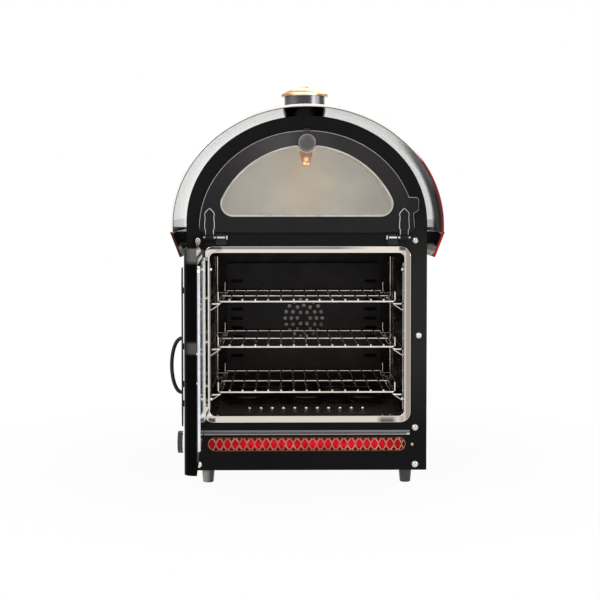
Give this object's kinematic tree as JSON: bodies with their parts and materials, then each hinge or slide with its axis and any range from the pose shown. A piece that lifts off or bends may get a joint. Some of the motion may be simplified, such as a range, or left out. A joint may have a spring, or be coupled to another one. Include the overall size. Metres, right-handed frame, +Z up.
{
  "type": "baked potato oven",
  "caption": "Counter-top oven with wire racks behind a side-hung door, under an arched glazed warming cabinet with a lamp, a polished canopy, a capped chimney and a glowing ember grille.",
  "frame": {"origin": "on the standing surface, under the middle of the cabinet, between the four feet", "axes": "+Z up, the front with the doors faces -Y, +X to the right as seen from the front"},
  "size_m": [0.5012, 0.9515, 0.7663],
  "materials": {
    "black_enamel": "gloss enamel",
    "red_enamel": "gloss enamel",
    "polished_steel": "polished",
    "brushed_steel": "brushed",
    "oven_steel": "heat-tinted, satin",
    "pale_steel": "satin",
    "rack_wire": "bright plated",
    "brass": "polished",
    "black_iron": "satin black",
    "flap_paint": "satin charcoal",
    "grey_trim": "satin grey",
    "clear_glass": "clear",
    "red_diffuser": "translucent red",
    "amber_lens": "translucent amber",
    "lamp_white": "frosted",
    "ceramic": "unglazed",
    "lagging": "fibrous",
    "seal_rubber": "matte",
    "black_plastic": "matte",
    "motor_paint": "satin",
    "bright_screw": "bright plated"
  },
  "bodies": {
    "cabinet": {"front_frame": "black_enamel", "side_panel_right": "black_enamel", "side_panel_left": "black_enamel", "roof_shell": "black_enamel", "back_panel": "black_enamel", "base_plate": "brushed_steel", "feet": "brushed_steel", "front_screws": "bright_screw", "indicator": "amber_lens", "oven_liner": "oven_steel", "oven_bezel": "polished_steel", "oven_insulation": "lagging", "floor_plate": "oven_steel", "lower_element": "black_iron", "fan_baffle": "oven_steel", "fan_motor": "motor_paint", "rack_guides": "rack_wire", "guide_screws": "bright_screw", "fascia_lip": "grey_trim", "ember_mesh": "brushed_steel", "ember_box": "pale_steel", "ember_diffuser": "red_diffuser", "ember_lamp": "lamp_white", "display_liner": "pale_steel", "display_floor": "pale_steel", "lamp_holder": "ceramic", "halogen_lamp": "clear_glass", "flap_brackets": "polished_steel", "flap_pins": "bright_screw", "flap_catch": "bright_screw", "hinge_brackets": "black_iron", "canopy_shell": "polished_steel", "canopy_rails": "red_enamel", "canopy_brackets": "black_iron", "chimney_duct": "black_iron", "chimney_collar": "polished_steel", "chimney_cap": "brass", "thermostat": "black_plastic", "power_switch": "black_plastic", "terminal_block": "black_plastic", "cable_gland": "black_plastic"},
    "main_door": {"door_outer": "black_enamel", "door_inner": "polished_steel", "door_insulation": "lagging", "door_seal": "seal_rubber", "door_backplate": "black_iron", "door_handle": "black_iron", "door_fixings": "bright_screw", "hinge_leaves": "black_iron"},
    "window_flap": {"flap_frame": "flap_paint", "flap_glass": "clear_glass", "flap_bead": "seal_rubber", "flap_knob": "black_iron", "flap_straps": "flap_paint"},
    "lower_rack": {"rack_lower": "rack_wire"},
    "middle_rack": {"rack_middle": "rack_wire"},
    "upper_rack": {"rack_upper": "rack_wire"},
    "thermostat_dial": {"thermostat_knob": "black_plastic"},
    "switch_rocker": {"power_rocker": "black_plastic"},
    "fan": {"fan_rotor": "brushed_steel"}
  },
  "joints": [
    {"name": "main_door_hinge", "type": "hinge", "parent": "cabinet", "child": "main_door", "pos_m": [-0.202, -0.275, 0.28], "axis": [0, 0, -1], "range_deg": [-88, 12]},
    {"name": "window_flap_hinge", "type": "hinge", "parent": "cabinet", "child": "window_flap", "pos_m": [0, -0.2665, 0.462], "axis": [1, 0, 0], "range_deg": [0, 90]},
    {"name": "lower_rack_slide", "type": "slide", "parent": "cabinet", "child": "lower_rack", "axis": [0, -1, 0], "range_m": [0, 0.26]},
    {"name": "middle_rack_slide", "type": "slide", "parent": "cabinet", "child": "middle_rack", "axis": [0, -1, 0], "range_m": [0, 0.26]},
    {"name": "upper_rack_slide", "type": "slide", "parent": "cabinet", "child": "upper_rack", "axis": [0, -1, 0], "range_m": [0, 0.26]},
    {"name": "thermostat_turn", "type": "hinge", "parent": "cabinet", "child": "thermostat_dial", "pos_m": [-0.225, -0.2, 0.067], "axis": [1, 0, 0], "range_deg": [0, 270]},
    {"name": "switch_rock", "type": "hinge", "parent": "cabinet", "child": "switch_rocker", "pos_m": [-0.223, -0.12, 0.067], "axis": [0, -1, 0], "range_deg": [0, 14]},
    {"name": "fan_spin", "type": "hinge", "parent": "cabinet", "child": "fan", "pos_m": [0, 0.12, 0.28], "axis": [0, 1, 0], "continuous": true}
  ]
}
